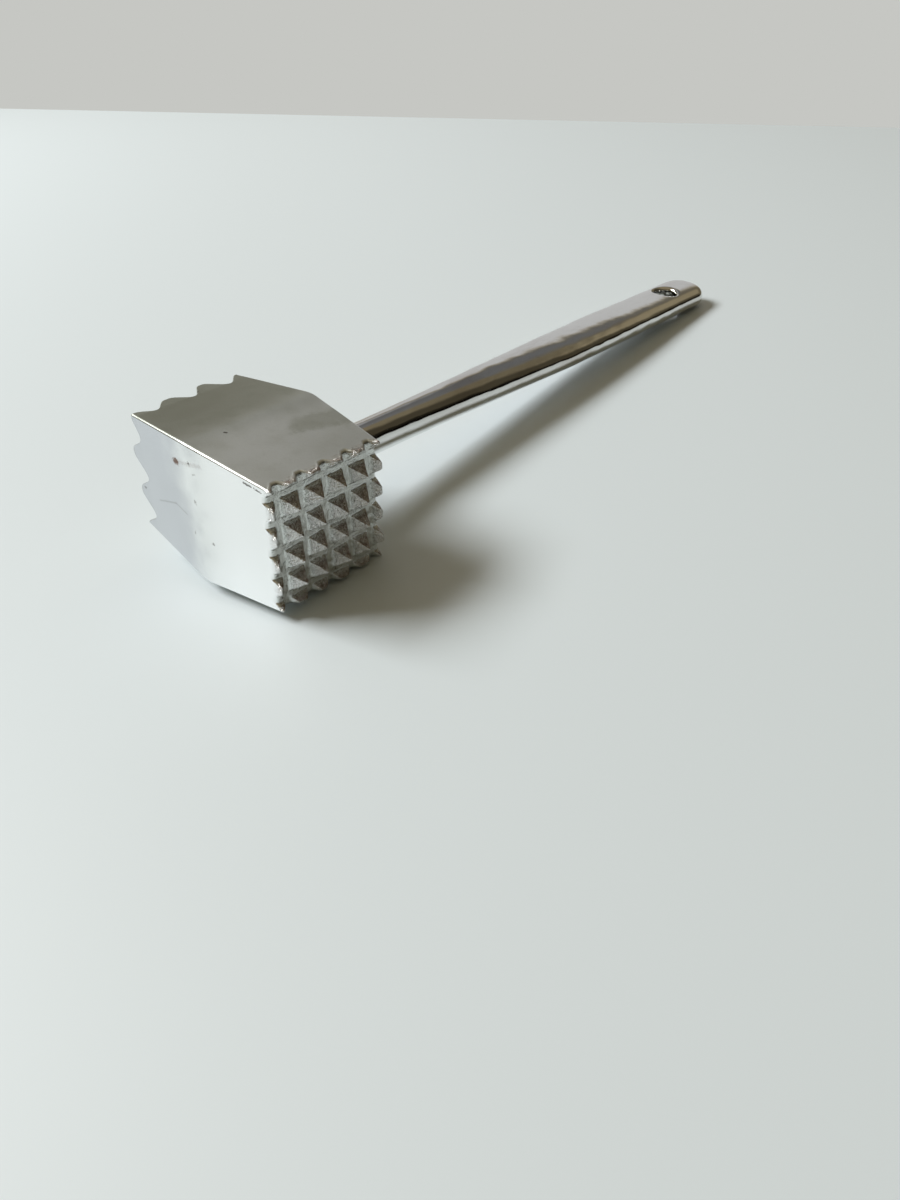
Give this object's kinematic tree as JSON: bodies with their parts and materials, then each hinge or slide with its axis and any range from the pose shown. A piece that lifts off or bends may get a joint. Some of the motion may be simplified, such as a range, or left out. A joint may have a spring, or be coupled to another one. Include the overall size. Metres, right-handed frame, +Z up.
{
  "type": "meat tenderizer",
  "caption": "Square metal tenderizer head with coarse teeth on one end and fine teeth on the other, on a handle that starts round and flattens towards a hanging hole.",
  "frame": {"origin": "middle of the base of the bounding box, on the table that the tool lies on", "axes": "+X from the head to the handle's tip, +Y from the fine teeth to the coarse teeth, +Z up"},
  "size_m": [0.24, 0.0626, 0.0422],
  "materials": {
    "head_plating": "satin, worn, with brown stains among the teeth",
    "handle_plating": "polished, lightly smudged",
    "stud_steel": "plain turned steel with a rolled thread",
    "pin_steel": "dark spring steel"
  },
  "bodies": {
    "root": {"head": "head_plating", "handle": "handle_plating", "handle_stud": "stud_steel", "locking_pin": "pin_steel"}
  },
  "joints": []
}
